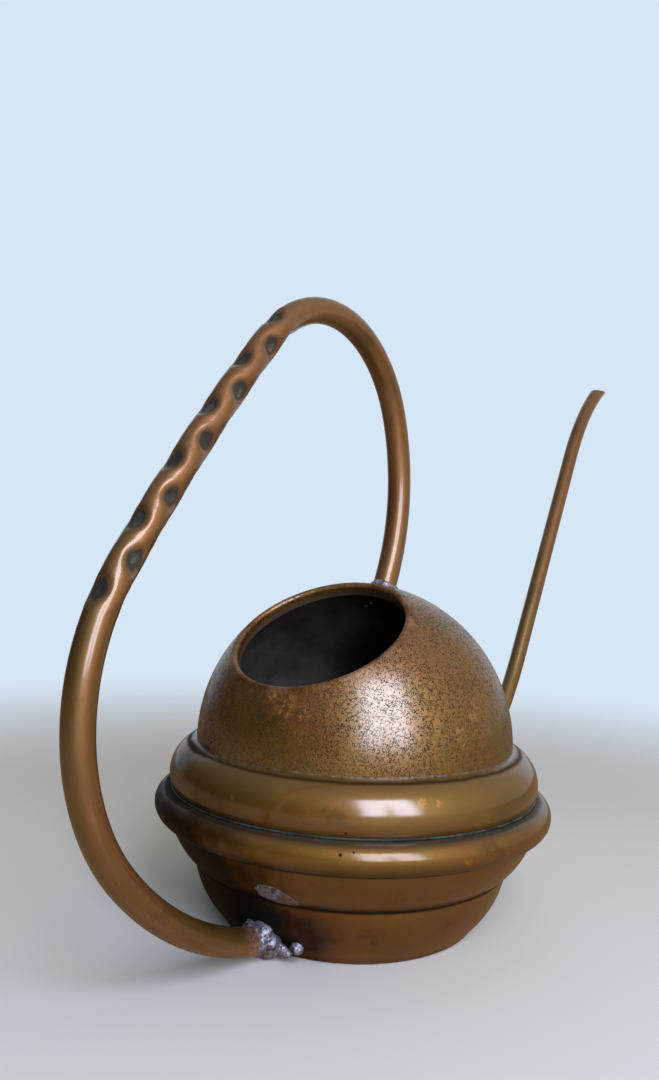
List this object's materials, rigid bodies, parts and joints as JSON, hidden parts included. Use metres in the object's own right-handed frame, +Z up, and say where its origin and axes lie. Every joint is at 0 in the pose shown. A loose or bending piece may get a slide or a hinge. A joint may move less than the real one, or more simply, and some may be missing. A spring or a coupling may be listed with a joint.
{
  "type": "watering can",
  "caption": "Copper watering can with a ball-shaped top, slanted filling mouth, bent tube handle and a long thin spout.",
  "frame": {"origin": "centre of the flat bottom, on the surface that the can stands on", "axes": "+Z up through the middle of the body, +X from the body towards the spout, -X towards the handle"},
  "size_m": [0.5477, 0.1902, 0.3123],
  "materials": {
    "copper_shell": "dark brown tarnish on spun copper sheet",
    "copper_tube": "dark brown tarnish on bent copper tube",
    "solder": "dull grey solder with verdigris"
  },
  "bodies": {
    "root": {"upper_shell": "copper_shell", "lower_shell": "copper_shell", "seam_solder": "solder", "handle_tube": "copper_tube", "spout_tube": "copper_tube", "handle_foot_solder": "solder", "handle_top_solder": "solder", "spout_root_solder": "solder", "solder_scar": "solder"}
  },
  "joints": []
}
